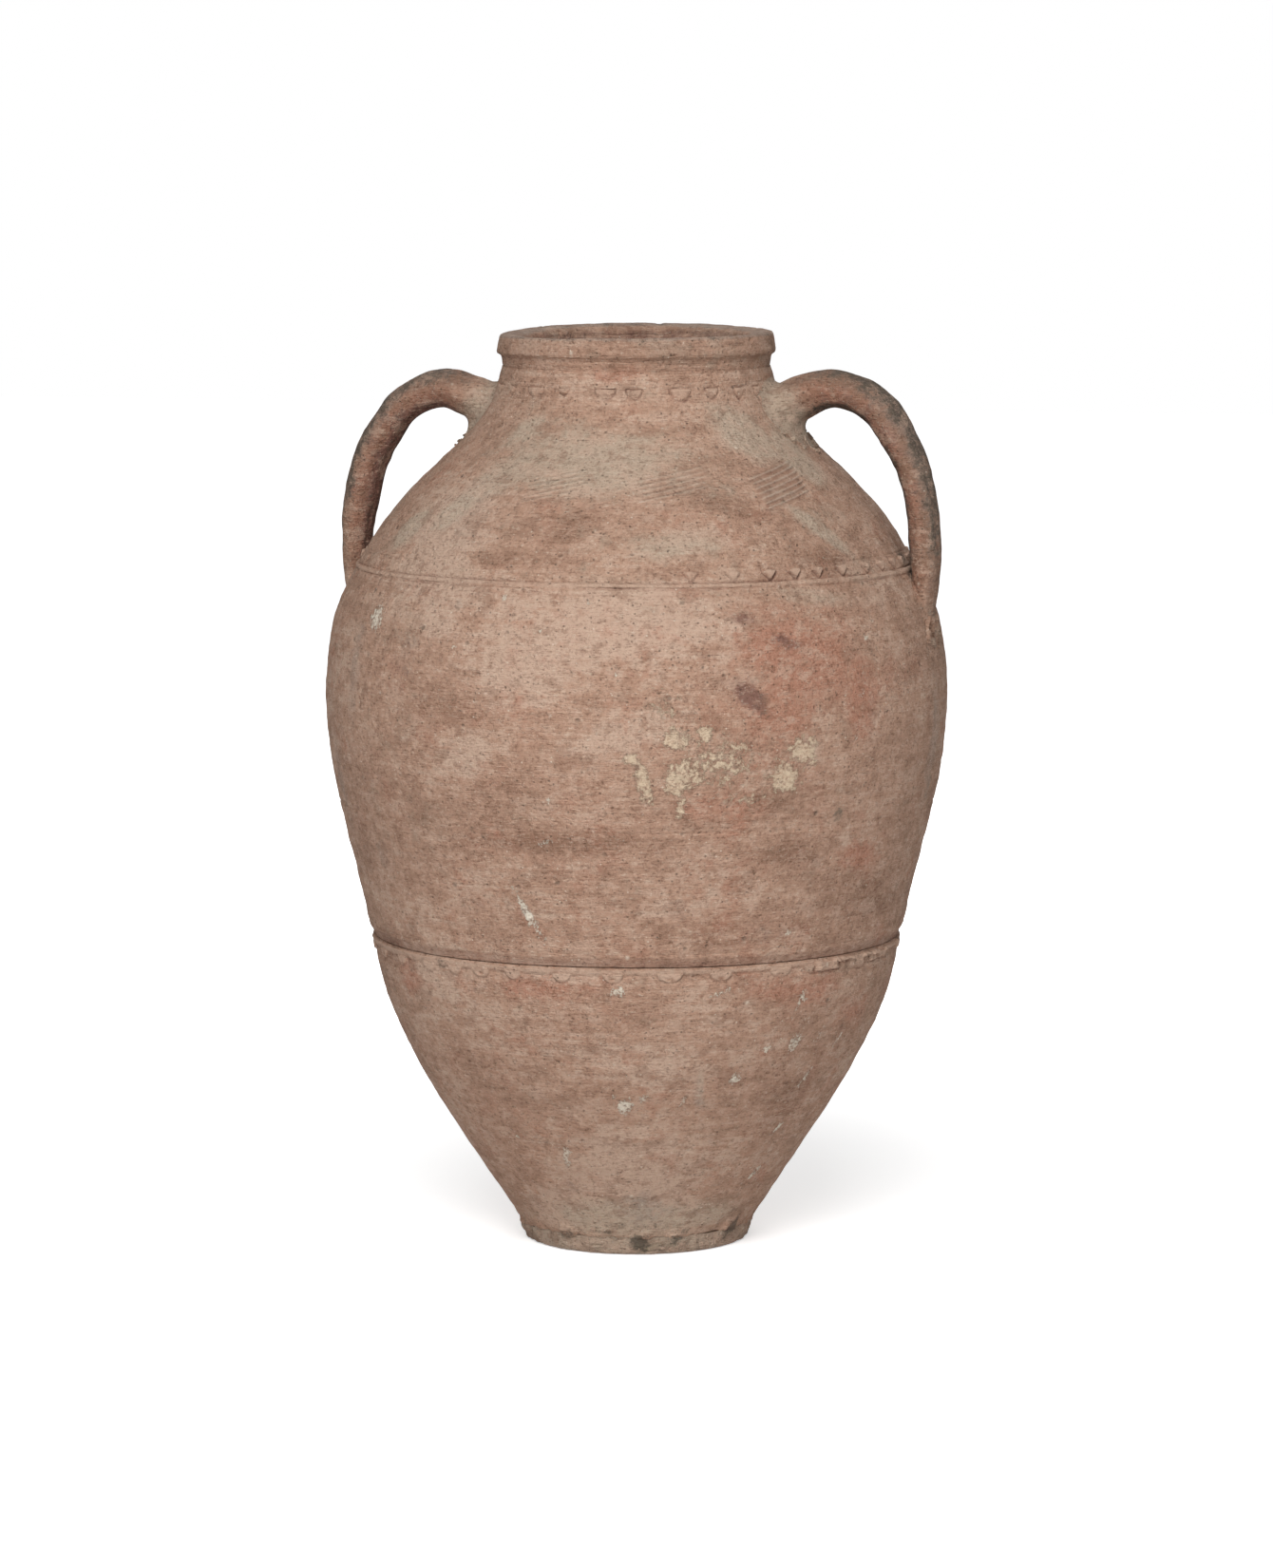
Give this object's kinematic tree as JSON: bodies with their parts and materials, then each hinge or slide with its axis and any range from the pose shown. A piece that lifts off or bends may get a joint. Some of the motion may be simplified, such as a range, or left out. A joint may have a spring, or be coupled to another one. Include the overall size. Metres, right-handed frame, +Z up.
{
  "type": "amphora",
  "caption": "Tall two-handled storage jar of unglazed fired clay, with a swelling body, tapered base, short neck and banded lip.",
  "frame": {"origin": "middle of the foot's underside, on the surface the jar stands on", "axes": "+Z up along the jar's turning axis, +X through the right handle, Y across the handles"},
  "size_m": [0.5129, 0.513, 0.75],
  "materials": {
    "wall_clay": "matt unglazed fired clay, pink-brown, with pale dust, lime flecks and faint throwing lines",
    "shoulder_clay": "matt unglazed fired clay under a film of pale grey-beige dust",
    "lip_clay": "matt unglazed fired clay, worn and grey along the top edge",
    "seam_clay": "matt pressed clay with finger and tool marks",
    "handle_clay": "matt unglazed fired clay, smoothed by hand, with grey lichen on top",
    "foot_clay": "rough matt clay with cracks and earth deposits"
  },
  "bodies": {
    "root": {"base_cone": "wall_clay", "foot_slab": "foot_clay", "left_handle": "handle_clay", "left_handle_neck_pad": "handle_clay", "left_handle_shoulder_pad": "handle_clay", "lower_belly_course": "wall_clay", "lower_seam_coil": "seam_clay", "neck_collar": "shoulder_clay", "neck_seam_coil": "seam_clay", "right_handle": "handle_clay", "right_handle_neck_pad": "handle_clay", "right_handle_shoulder_pad": "handle_clay", "rim_coil": "lip_clay", "shoulder_dome": "shoulder_clay", "shoulder_seam_coil": "seam_clay", "upper_belly_course": "wall_clay"}
  },
  "joints": []
}
